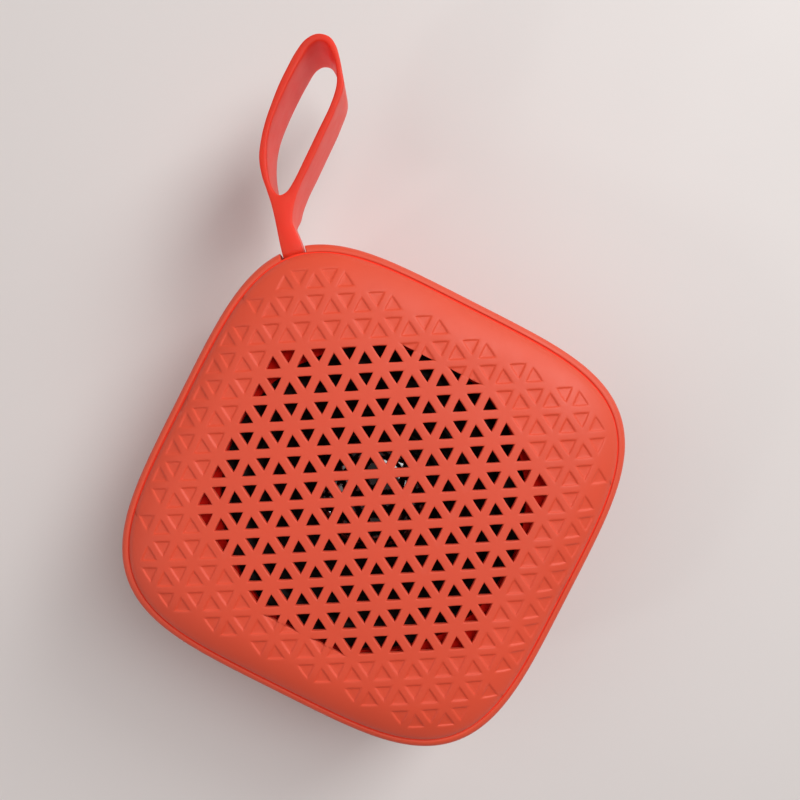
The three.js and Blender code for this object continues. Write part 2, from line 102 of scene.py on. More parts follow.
def shade(ob, angle):
    me = ob.data
    me.polygons.foreach_set("use_smooth", [True] * len(me.polygons))
    me.set_sharp_from_angle(angle=math.radians(angle))
    me.update()


def weld(ob, dist_mm=0.0005, flip_check=True):
    bm = bmesh.new(); bm.from_mesh(ob.data)
    bmesh.ops.remove_doubles(bm, verts=bm.verts, dist=dist_mm * MM)
    if flip_check:
        bmesh.ops.recalc_face_normals(bm, faces=bm.faces)
    bm.to_mesh(ob.data); bm.free()


def apply_modifiers(ob):
    dg = bpy.context.evaluated_depsgraph_get()
    me = bpy.data.meshes.new_from_object(ob.evaluated_get(dg))
    ob.modifiers.clear()
    old = ob.data
    ob.data = me
    bpy.data.meshes.remove(old)


def boolean(ob, other, op):
    m = ob.modifiers.new("b", "BOOLEAN")
    m.operation, m.object, m.solver = op, other, "EXACT"
    m.use_self = False
    bpy.context.view_layer.update()
    apply_modifiers(ob)
    bpy.data.objects.remove(other)


class Builder:
    """Collects closed bodies and makes one mesh of them."""

    def __init__(self):
        self.v, self.f = [], []

    def rings(self, rings, cap0=True, cap1=True, close=False):
        base = len(self.v); n = len(rings[0])
        for r in rings:
            self.v += [tuple(p) for p in r]
        m = len(rings)
        for k in range(m if close else m - 1):
            a0, b0 = base + k * n, base + ((k + 1) % m) * n
            for i in range(n):
                j = (i + 1) % n
                self.f.append((a0 + i, a0 + j, b0 + j, b0 + i))
        if not close:
            if cap0: self.f.append(tuple(base + i for i in reversed(range(n))))
            if cap1: self.f.append(tuple(base + (m - 1) * n + i for i in range(n)))
        return self

    def make(self, name, angle=35.0):
        ob = new_object(name, self.v, self.f, None)
        weld(ob)
        if angle: shade(ob, angle)
        return ob


def superellipse(a, e, n=240, z=0.0):
    out = []
    for i in range(n):
        q, u = divmod(i, n // 4)
        u = (u + 0.5) / (n / 4) * math.pi / 2
        t = q * math.pi / 2 + 0.5 * u + 0.5 * math.atan2(math.sqrt(math.sin(u)), math.sqrt(math.cos(u)))
        r = a / (abs(math.cos(t)) ** e + abs(math.sin(t)) ** e) ** (1 / e)
        out.append((r * math.cos(t), r * math.sin(t), z))
    return out


def round_rect(w, h, r, n=8, cx=0.0, cy=0.0):
    pts = []
    for sx, sy, a0 in ((1, 1, 0), (-1, 1, 90), (-1, -1, 180), (1, -1, 270)):
        for i in range(n + 1):
            t = math.radians(a0 + 90 * i / n)
            pts.append((cx + sx * (w / 2 - r) + r * math.cos(t), cy + sy * (h / 2 - r) + r * math.sin(t)))
    return pts


def circle(r, n=48, cx=0.0, cy=0.0):
    return [(cx + r * math.cos(2 * math.pi * i / n), cy + r * math.sin(2 * math.pi * i / n)) for i in range(n)]


def to_y(pts, y):
    """A section drawn in x and z, placed at y."""
    return [(x, y, z) for x, z in pts]


def to_z(pts, z):
    return [(x, y, z) for x, y in pts]


def lathe(profile, n=96, cx=0.0, cy=0.0, close=True):
    """Rings for a closed profile of (r, z) turned round Z."""
    return [[(cx + r * math.cos(2 * math.pi * i / n), cy + r * math.sin(2 * math.pi * i / n), z) for i in range(n)] for r, z in profile]


def fillet(profile, r=0.15, n=3, closed=True):
    """Rounds the corners of a profile of (r, z) points."""
    out = []; m = len(profile)
    for i, p in enumerate(profile):
        if not closed and i in (0, m - 1):
            out.append(p); continue
        a, b = Vector(profile[i - 1]), Vector(profile[(i + 1) % m]); q = Vector(p)
        da, db = (a - q), (b - q)
        la, lb = da.length, db.length
        if la < 1e-6 or lb < 1e-6: out.append(p); continue
        rr = min(r, la * 0.45, lb * 0.45)
        s, e = q + da / la * rr, q + db / lb * rr
        for k in range(n + 1):
            t = k / n
            pt = s.lerp(q, t).lerp(q.lerp(e, t), t)
            out.append((pt.x, pt.y))
    return out


# ------------------------------------------------------------------ materials
def material(name, color, rough=0.5, metal=0.0, *, vary=0.06, vary_scale=60.0, bump=0.0, bump_scale=1500.0, bump2=0.0, bump2_scale=250.0,
             rough_vary=0.05, sss=0.0, sss_radius=(0.0025, 0.0008, 0.0005), coat=0.0, coat_rough=0.2, ior=1.46, sheen=0.0, trans=0.0,
             aniso=0.0, dust_and_edge_highlight=0.0, spec=0.5):
    m = bpy.data.materials.new(name)
    m.use_nodes = True
    nt = m.node_tree; nd, ln = nt.nodes, nt.links
    b = nd["Principled BSDF"]
    b.inputs["Metallic"].default_value = metal
    b.inputs["IOR"].default_value = ior
    b.inputs["Specular IOR Level"].default_value = spec
    b.inputs["Coat Weight"].default_value = coat
    b.inputs["Coat Roughness"].default_value = coat_rough
    b.inputs["Sheen Weight"].default_value = sheen
    b.inputs["Sheen Roughness"].default_value = 0.5
    b.inputs["Transmission Weight"].default_value = trans
    b.inputs["Anisotropic"].default_value = aniso
    if sss:
        b.inputs["Subsurface Weight"].default_value = sss
        b.inputs["Subsurface Radius"].default_value = sss_radius
        b.inputs["Subsurface Scale"].default_value = 1.0
    tc = nd.new("ShaderNodeTexCoord")
    no = nd.new("ShaderNodeTexNoise"); no.inputs["Scale"].default_value = vary_scale; no.inputs["Detail"].default_value = 5
    ln.new(tc.outputs["Object"], no.inputs["Vector"])
    ramp = nd.new("ShaderNodeValToRGB")
    lo = [c * (1 - vary) for c in color]; hi = [min(1, c * (1 + vary)) for c in color]
    ramp.color_ramp.elements[0].position, ramp.color_ramp.elements[1].position = 0.3, 0.7
    ramp.color_ramp.elements[0].color = (*lo, 1); ramp.color_ramp.elements[1].color = (*hi, 1)
    ln.new(no.outputs["Fac"], ramp.inputs["Fac"])
    col = ramp.outputs["Color"]
    # lighter colour mixed in on sharp convex edges by pointiness: dust on the rubber pad, painted edge highlight on the
    # coral plastic
    if dust_and_edge_highlight:
        geo = nd.new("ShaderNodeNewGeometry")
        pr = nd.new("ShaderNodeValToRGB")
        pr.color_ramp.elements[0].position, pr.color_ramp.elements[1].position = 0.505, 0.60
        pr.color_ramp.elements[0].color = (0, 0, 0, 1); pr.color_ramp.elements[1].color = (1, 1, 1, 1)
        ln.new(geo.outputs["Pointiness"], pr.inputs["Fac"])
        mul = nd.new("ShaderNodeMath"); mul.operation = "MULTIPLY"; mul.inputs[1].default_value = dust_and_edge_highlight
        ln.new(pr.outputs["Color"], mul.inputs[0])
        mix = nd.new("ShaderNodeMix"); mix.data_type = "RGBA"
        mix.inputs["B"].default_value = (*[min(1, c * 0.75 + 0.22) for c in color], 1)
        ln.new(mul.outputs[0], mix.inputs["Factor"]); ln.new(col, mix.inputs["A"])
        col = mix.outputs["Result"]
    ln.new(col, b.inputs["Base Color"])
    rn = nd.new("ShaderNodeTexNoise"); rn.inputs["Scale"].default_value = vary_scale * 3.3; rn.inputs["Detail"].default_value = 4
    ln.new(tc.outputs["Object"], rn.inputs["Vector"])
    mr = nd.new("ShaderNodeMapRange")
    mr.inputs["From Min"].default_value, mr.inputs["From Max"].default_value = 0.3, 0.7
    mr.inputs["To Min"].default_value, mr.inputs["To Max"].default_value = max(0.02, rough - rough_vary), min(1, rough + rough_vary)
    ln.new(rn.outputs["Fac"], mr.inputs["Value"]); ln.new(mr.outputs["Result"], b.inputs["Roughness"])
    last = None
    for amount, scale, detail in ((bump2, bump2_scale, 3), (bump, bump_scale, 2)):
        if not amount: continue
        t = nd.new("ShaderNodeTexNoise"); t.inputs["Scale"].default_value = scale; t.inputs["Detail"].default_value = detail
        ln.new(tc.outputs["Object"], t.inputs["Vector"])
        bp = nd.new("ShaderNodeBump"); bp.inputs["Strength"].default_value = min(1.0, amount); bp.inputs["Distance"].default_value = 0.0001
        ln.new(t.outputs["Fac"], bp.inputs["Height"])
        if last: ln.new(last.outputs["Normal"], bp.inputs["Normal"])
        last = bp
    if last: ln.new(last.outputs["Normal"], b.inputs["Normal"])
    return m


M = {}
# the edge lightening on this coral plastic is a painted highlight on its sharp edges
M["case_plastic"] = material("coral_plastic", (0.80, 0.087, 0.037), 0.54, vary=0.035, vary_scale=45, bump=0.28, bump_scale=3800, bump2=0.12, bump2_scale=420, sss=0.06, sss_radius=(0.0012, 0.0003, 0.0002), sheen=0.03, spec=0.55, dust_and_edge_highlight=0.04)
# painted shade: the baffle is the same coral plastic as the case; this deeper, more saturated red stands in for the
# shade on its face down the grille holes
M["baffle_plastic"] = material("baffle_red_painted_shade", (0.80, 0.012, 0.005), 0.75, spec=0.08, bump=0.25, bump_scale=3000)
M["key_plastic"] = material("key_plastic", (0.80, 0.087, 0.037), 0.46, vary=0.03, bump=0.22, bump_scale=3800, sss=0.08, sss_radius=(0.0012, 0.0003, 0.0002))
M["strap_silicone"] = material("coral_silicone", (0.90, 0.048, 0.020), 0.48, vary=0.04, vary_scale=90, bump=0.10, bump_scale=2600, bump2=0.08, bump2_scale=500, sss=0.85, sss_radius=(0.0080, 0.0008, 0.0004), sheen=0.06, spec=0.32)
# painted shade: a deeper, more saturated red for the seam lip, standing in for the shade and red interreflection down
# the seam
M["groove"] = material("coral_groove", (0.96, 0.055, 0.025), 0.62, vary=0.03, vary_scale=60, bump=0.2, bump_scale=3000, spec=0.15)
M["pad_rubber"] = material("pad_rubber", (0.030, 0.030, 0.032), 0.75, bump=0.5, bump_scale=2400, bump2=0.2, bump2_scale=600, rough_vary=0.08, dust_and_edge_highlight=0.1)
M["steel"] = material("zinc_steel", (0.62, 0.63, 0.65), 0.30, 1.0, vary=0.08, vary_scale=300, bump=0.12, bump_scale=1400, rough_vary=0.10, aniso=0.3)
M["basket_paint"] = material("basket_paint", (0.035, 0.036, 0.04), 0.38, 0.2, bump=0.3, bump_scale=1800)
M["cone_film"] = material("cone_film", (0.010, 0.005, 0.004), 0.5, vary=0.15, vary_scale=160, bump=0.3, bump_scale=1800, rough_vary=0.05, spec=0.2)
M["cap_film"] = material("cap_film", (0.006, 0.006, 0.007), 0.05, vary=0.15, vary_scale=160, bump2=1.7, bump2_scale=380, bump=0.15, bump_scale=1900, rough_vary=0.02, coat=1.0, coat_rough=0.03, ior=1.9)
M["surround_rubber"] = material("surround_rubber", (0.013, 0.008, 0.007), 0.55, bump=0.2, bump_scale=1600, rough_vary=0.08, spec=0.25)
M["spider_cloth"] = material("spider_cloth", (0.52, 0.36, 0.13), 0.85, bump=0.9, bump_scale=1500, vary=0.15, vary_scale=400)
M["copper"] = material("copper_winding", (0.72, 0.30, 0.12), 0.28, 1.0, vary=0.1, vary_scale=500, bump=0.3, bump_scale=2200)
M["ferrite"] = material("ferrite", (0.05, 0.05, 0.055), 0.62, 0.0, bump=0.5, bump_scale=1400, vary=0.2, vary_scale=300)
M["foam"] = material("foam", (0.025, 0.025, 0.027), 0.95, bump=1.0, bump_scale=1500, vary=0.25, vary_scale=700)
M["board"] = material("solder_mask", (0.015, 0.15, 0.06), 0.35, vary=0.12, vary_scale=260, bump=0.15, bump_scale=900, coat=0.3)
M["dark_plastic"] = material("dark_plastic", (0.018, 0.018, 0.020), 0.42, bump=0.3, bump_scale=2600, rough_vary=0.08)
M["pale_plastic"] = material("pale_plastic", (0.72, 0.69, 0.62), 0.45, bump=0.2, bump_scale=2600)
M["light_plastic"] = material("light_pipe", (0.88, 0.88, 0.86), 0.12, vary=0.02, trans=0.6, ior=1.49)
M["capacitor_sleeve"] = material("capacitor_sleeve", (0.02, 0.06, 0.20), 0.25, vary=0.05, coat=0.4, bump=0.1, bump_scale=900)
M["cell_wrap"] = material("foil_pouch", (0.58, 0.60, 0.64), 0.32, 0.9, vary=0.06, vary_scale=120, bump=0.3, bump_scale=700, bump2=0.3, bump2_scale=90)
M["terminal_board"] = material("terminal_board", (0.26, 0.13, 0.045), 0.6, bump=0.4, bump_scale=1500, vary=0.2, vary_scale=600)
M["wire_red"] = material("wire_red", (0.52, 0.015, 0.015), 0.32, vary=0.04, bump=0.1, bump_scale=1500)
M["wire_black"] = material("wire_black", (0.012, 0.012, 0.012), 0.32, vary=0.1, bump=0.1, bump_scale=1500)

slot_of = {s["node"]: s["material_slot"] for s in frame["record"]["subparts"]}
for n, ob in N.items():
    ob.data.materials.clear()
    ob.data.materials.append(M[slot_of[n]])


def finish_piece(ob, body, nodes, slot, mat=None):
    ob.data.materials.clear()
    ob.data.materials.append(M[mat or slot])
    if body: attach(ob, body)
    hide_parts(*nodes)
    return ob


# ------------------------------------------------------------------ front cover
def s_of(x, y):
    return (abs(x) ** EDGE_N + abs(y) ** EDGE_N) ** (1 / EDGE_N)


def z_top(s):
    a, b = max(0.0, s - 14) / 22, max(0.0, s - 33) / 8.4
    z = FRONT - 0.9 * a * a - 2.3 * b ** 2.4
    if s > 40.2:                      # tight roll at the very edge
        t = min(1.0, (s - 40.2) / (EDGE + 0.07 - 40.2))
        z -= 0.82 * (1 - math.sqrt(max(0.0, 1 - t ** 2.2)))
    return z


H = PITCH * math.sqrt(3) / 2
SUB = 5


def cell_kind(k, j):
    odd, up = k % 2, (j + k % 2) % 2 == 1
    cx = k * H + (H / 3 if up else 2 * H / 3); cy = j * PITCH / 2
    ax, ay = abs(cx), abs(cy)
    top = 5 * PITCH
    if ax < 6 * H and ay + ax / math.sqrt(3) < 6 * PITCH - 0.1:
        if ay < top - 1: return "hole", cx, cy, up
        if ay < top + 1: return "half", cx, cy, up
    lim = [(H * 7.75, 2.6 * PITCH), (H * 7.4, 4.1 * PITCH), (H * 6.75, 5.1 * PITCH), (H * 6.4, 5.6 * PITCH), (H * 5.7, 6.1 * PITCH)]
    ok = False
    for xl, yl in lim:
        if ax < xl and ay < yl: ok = True
    if ok and ay < 6.2 * PITCH:
        return "recess", cx, cy, up
    return None, cx, cy, up


def corners_of(cx, cy, up):
    r = PITCH / math.sqrt(3); a0 = 0 if up else math.pi
    return [(cx + r * math.cos(a0 + i * 2 * math.pi / 3), cy + r * math.sin(a0 + i * 2 * math.pi / 3)) for i in range(3)]


def inset(poly, ds):
    """poly counter-clockwise, moved in by ds[i] on side i (from point i to i+1)."""
    n = len(poly); lines = []
    for i in range(n):
        (x0, y0), (x1, y1) = poly[i], poly[(i + 1) % n]
        L = math.hypot(x1 - x0, y1 - y0); nx, ny = -(y1 - y0) / L, (x1 - x0) / L
        lines.append((nx, ny, nx * x0 + ny * y0 + ds[i]))
    out = []
    for i in range(n):
        a, b = lines[i - 1], lines[i]
        det = a[0] * b[1] - a[1] * b[0]
        out.append(((a[2] * b[1] - a[1] * b[2]) / det, (a[0] * b[2] - a[2] * b[0]) / det))
    return out


def ring_points(poly, m, soft=0.0):
    n = len(poly); pts = []
    gx, gy = sum(p[0] for p in poly) / n, sum(p[1] for p in poly) / n
    for i in range(n):
        (x0, y0), (x1, y1) = poly[i], poly[(i + 1) % n]
        for q in range(m):
            t = q / m
            pts.append((x0 + (x1 - x0) * t, y0 + (y1 - y0) * t))
    if soft:  # round the corners a little
        rad = [math.hypot(p[0] - gx, p[1] - gy) for p in pts]
        lo = min(rad)
        pts = [(gx + (p[0] - gx) * (1 - soft * ((r - lo) / r)), gy + (p[1] - gy) * (1 - soft * ((r - lo) / r))) for p, r in zip(pts, rad)]
    return pts


HOLE_TOP = [(0.50, 0.0), (0.66, -0.008), (0.76, -0.04), (0.82, -0.10), (0.85, -0.19)]
HOLE_DOWN = [(0.855, -0.60), (0.865, -1.15), (0.83, -1.30)]
HOLE_BACK = [(0.70, -1.37)]
RECESS = [(0.36, 0.0), (0.50, -0.012), (0.62, -0.050), (0.72, -0.115), (0.80, -0.190), (0.89, -0.250), (1.00, -0.275)]


def bottom_xyz(x, y):
    s = s_of(x, y); z = z_top(s) - 1.40
    if s > 38.0:
        s2 = 38.0 + (s - 38.0) * (39.9 - 38.0) / (EDGE - 38.0)
        x, y = x * s2 / s, y * s2 / s
        z = z_top(s) - 1.40 + 0.25 * (s - 38.0) / 3.4
    return x, y, z


def build_cover():
    V, F, index = [], [], {}

    def vert(p, layer):
        key = (round(p[0], 3), round(p[1], 3), layer)
        i = index.get(key)
        if i is None:
            i = index[key] = len(V)
            V.append((p[0], p[1], z_top(s_of(*p))) if layer == "t" else bottom_xyz(*p))
        return i

    def loose(p, dz):
        V.append((p[0], p[1], z_top(s_of(*p)) + dz)); return len(V) - 1

    def strip(a, b):
        n = len(a)
        for i in range(n):
            j = (i + 1) % n
            F.append((a[i], a[j], b[j], b[i]))

    def hole(poly, f):
        top0 = [vert(p, "t") for p in ring_points(poly, SUB)]
        cur = top0
        for d, dz in HOLE_TOP + HOLE_DOWN + HOLE_BACK:
            pts = ring_points(inset(poly, f(d)), SUB, 0.10 if d > 0.6 else 0.0)
            nxt = [loose(p, dz) for p in pts]
            strip(cur, nxt); cur = nxt
        strip(cur, [vert(p, "b") for p in ring_points(poly, SUB)])

    def recess(poly, f, deep=1.0):
        cur = [vert(p, "t") for p in ring_points(poly, SUB)]
        for d, dz in RECESS:
            pts = ring_points(inset(poly, f(d)), SUB, 0.12 if d > 0.6 else 0.0)
            nxt = [loose(p, dz * deep) for p in pts]
            strip(cur, nxt); cur = nxt
        g = (sum(V[i][0] for i in cur) / len(cur), sum(V[i][1] for i in cur) / len(cur))
        c = loose(g, RECESS[-1][1] * deep)
        n = len(cur)
        for i in range(n): F.append((cur[i], cur[(i + 1) % n], c))
        bot = [vert(p, "b") for p in ring_points(poly, SUB)]
        gb = (sum(p[0] for p in poly) / len(poly), sum(p[1] for p in poly) / len(poly))
        V.append(bottom_xyz(*gb)); cb = len(V) - 1
        for i in range(n): F.append((bot[(i + 1) % n], bot[i], cb))

    inside = set(); edges = {}
    for k in range(-9, 9):
        for j in range(-14, 15):
            kind, cx, cy, up = cell_kind(k, j)
            if not kind: continue
            inside.add((k, j))
            tri = corners_of(cx, cy, up)
            for i in range(3):
                a, b = tri[i], tri[(i + 1) % 3]
                ka, kb = (round(a[0], 3), round(a[1], 3)), (round(b[0], 3), round(b[1], 3))
                if (kb, ka) in edges: del edges[(kb, ka)]
                else: edges[(ka, kb)] = (a, b)
            if kind == "hole": hole(tri, lambda d: [d] * 3)
            elif kind == "recess": recess(tri, lambda d: [d] * 3)
            else:
                # this cell is cut by the straight edge of the open part: a hole on one side, a recess floor on the other
                sgn = 1 if cy > 0 else -1
                tip = next(p for p in tri if abs(p[1] - cy) < 0.01)
                sides = [p for p in tri if p is not tip]
                far = max(sides, key=lambda p: sgn * p[1]); near = min(sides, key=lambda p: sgn * p[1])
                mid = (far[0], cy)

                def depth(p):
                    d = 9.0
                    for q in range(3):
                        (x0, y0), (x1, y1) = tri[q], tri[(q + 1) % 3]
                        d = min(d, abs((x1 - x0) * (p[1] - y0) - (y1 - y0) * (p[0] - x0)) / PITCH)
                    xs, zs = [r[0] for r in RECESS], [r[1] for r in RECESS]
                    return float(np.interp(d, xs, zs))

                shared = {}
                for poly, is_hole in (([tip, mid, near], True), ([tip, mid, far], False)):
                    turn = sum(poly[i][0] * poly[(i + 1) % 3][1] - poly[(i + 1) % 3][0] * poly[i][1] for i in range(3))
                    if turn < 0: poly = poly[::-1]
                    cut = [abs(poly[i][1] - cy) < 0.01 and abs(poly[(i + 1) % 3][1] - cy) < 0.01 for i in range(3)]
                    cur = []
                    for p in ring_points(poly, SUB):
                        q = vert(p, "t"); cur.append(q)
                        if abs(p[1] - cy) < 0.01: shared[q] = p
                    prof = HOLE_TOP + HOLE_DOWN + HOLE_BACK if is_hole else [r for r in RECESS if r[0] < 0.95]
                    for d, dz in prof:
                        ins = inset(poly, [(0.0 if not is_hole else min(0.05, d * 0.06)) if q else d * 0.98 for q in cut])
                        nxt = []
                        for p in ring_points(ins, SUB):
                            near_cut = abs(p[1] - cy) < 0.06
                            if is_hole: z = min(dz, depth(p)) if near_cut else dz
                            else: z = depth(p)
                            nxt.append(loose(p, z))
                        strip(cur, nxt); cur = nxt
                    if is_hole: strip(cur, [vert(p, "b") for p in ring_points(poly, SUB)])
                    else:
                        g = (sum(V[i][0] for i in cur) / len(cur), sum(V[i][1] for i in cur) / len(cur))
                        c = loose(g, depth(g)); n = len(cur)
                        for i in range(n): F.append((cur[i], cur[(i + 1) % n], c))
                        bot = [vert(p, "b") for p in ring_points(poly, SUB)]
                        V.append(bottom_xyz(sum(p[0] for p in poly) / 3, sum(p[1] for p in poly) / 3)); cb = len(V) - 1
                        for i in range(n): F.append((bot[(i + 1) % n], bot[i], cb))
                for q, p in shared.items(): V[q] = (V[q][0], V[q][1], z_top(s_of(*p)) + depth(p))
    # margin between the lattice and the cover's edge
    segs = {}
    pts2, con = [], []

    def p2(p):
        key = (round(p[0], 3), round(p[1], 3))
        if key not in segs:
            segs[key] = len(pts2); pts2.append(p)
        return segs[key]

    for a, b in edges.values():
        q = [(a[0] + (b[0] - a[0]) * t / SUB, a[1] + (b[1] - a[1]) * t / SUB) for t in range(SUB + 1)]
        ids = [p2(p) for p in q]
        con += [(ids[i], ids[i + 1]) for i in range(SUB)]
    zig = np.array(pts2)
    NR = 360
    RIM_S = EDGE + 0.02
    rim_pts = [p[:2] for p in superellipse(RIM_S, EDGE_N, NR)]
    rim_ids = [p2(p) for p in rim_pts]
    con += [(rim_ids[i], rim_ids[(i + 1) % NR]) for i in range(NR)]

    def in_lattice(x, y):
        k = math.floor(x / H)
        for j in range(int(math.floor(y / (PITCH / 2))) - 2, int(math.floor(y / (PITCH / 2))) + 4):
            if (k, j) in inside:
                _, cx, cy, up = cell_kind(k, j)
                if abs(y - cy) <= (PITCH / 2) * ((1 - (x - k * H) / H) if up else (x - k * H) / H) + 1e-6: return True
        return False

    for s in (41.43, 41.35, 41.25, 41.1, 40.92, 40.7, 40.45, 40.1, 39.6, 39.0, 38.3, 37.5, 36.6, 35.6, 34.4, 33.2):
        n = NR if s > 40.4 else 240
        for x, y, _ in superellipse(s, EDGE_N, n):
            if in_lattice(x, y): continue
            if np.min((zig[:, 0] - x) ** 2 + (zig[:, 1] - y) ** 2) < (0.16 if s > 40.2 else 0.3) ** 2: continue
            p2((x, y))
    vo, eo, fo, ov, oe, of_ = delaunay_2d_cdt([Vector(p) for p in pts2], con, [], 0, 1e-6)
    for tri in fo:
        gx = sum(vo[i].x for i in tri) / 3; gy = sum(vo[i].y for i in tri) / 3
        if in_lattice(gx, gy) or s_of(gx, gy) > RIM_S: continue
        a = [vo[i] for i in tri]
        if (a[1] - a[0]).cross(a[2] - a[0]) < 0: tri = tri[::-1]; a = a[::-1]
        F.append(tuple(vert((p.x, p.y), "t") for p in a))
        F.append(tuple(vert((p.x, p.y), "b") for p in reversed(a)))
    # skirt
    def notch(p):
        u, v = uv(p[0], p[1])
        return abs(v) < 2.75 and u > 43
    top = [vert(p, "t") for p in rim_pts]; bot = [vert(p, "b") for p in rim_pts]
    for i in bot:
        if notch(V[i]): V[i] = (V[i][0], V[i][1], max(V[i][2], 34.95))
    rows = [top]
    step = (EDGE + 0.335) / RIM_S
    for k, z0, z1 in ((1.0, 35.40, 35.48), (step, 35.30, 35.38), (step, 33.45, 34.90), (1.0, 33.40, 34.85)):
        row = []
        for p in rim_pts:
            V.append((p[0] * k, p[1] * k, z1 if notch(p) else z0)); row.append(len(V) - 1)
        rows.append(row)
    row = []
    for p, b in zip(rim_pts, bot):
        V.append((V[b][0], V[b][1], 34.85 if notch(p) else 33.4)); row.append(len(V) - 1)
    rows += [row, bot]
    n = NR
    for a, b in zip(rows, rows[1:]):
        for i in range(n):
            j = (i + 1) % n
            F.append((a[j], a[i], b[i], b[j]))
    ob = new_object("front_cover_moulding", V, F, None)
    weld(ob, 0.0004, False)
    shade(ob, 50)
    return ob


cover = finish_piece(build_cover(), "root", ["front_cover"], "case_plastic")
cover.data.materials.append(M["groove"])      # the lip at the bottom of the seam is the same coral plastic, given a deeper, duller red as painted shade and red interreflection down the seam
# faces of the lip below the cover's edge get the painted seam shade
for f in cover.data.polygons:
    if f.center.z > 0.0345 and s_of(f.center.x * 1000, f.center.y * 1000) > EDGE + 0.012: f.material_index = 1

# ------------------------------------------------------------------ rear shell
def pchip(xs, ys, x):
    """Monotone cubic through the points."""
    n = len(xs); h = [xs[i + 1] - xs[i] for i in range(n - 1)]; d = [(ys[i + 1] - ys[i]) / h[i] for i in range(n - 1)]
    m = [d[0]] + [0 if d[i - 1] * d[i] <= 0 else 2 * d[i - 1] * d[i] / (d[i - 1] + d[i]) for i in range(1, n - 1)] + [d[-1]]
    i = max(0, min(n - 2, sum(1 for q in xs[1:-1] if q <= x)))
    t = (x - xs[i]) / h[i]
    return (ys[i] * (1 + 2 * t) * (1 - t) ** 2 + m[i] * h[i] * t * (1 - t) ** 2 + ys[i + 1] * t * t * (3 - 2 * t) + m[i + 1] * h[i] * t * t * (t - 1))


OUT_Z = [1.0, 1.06, 1.5, 3.4, 7.0, 13.0, 21.0, 33.8]
OUT_A = [31.0, 31.9, 33.25, 36.3, 39.15, 41.45, 42.7, 43.2]


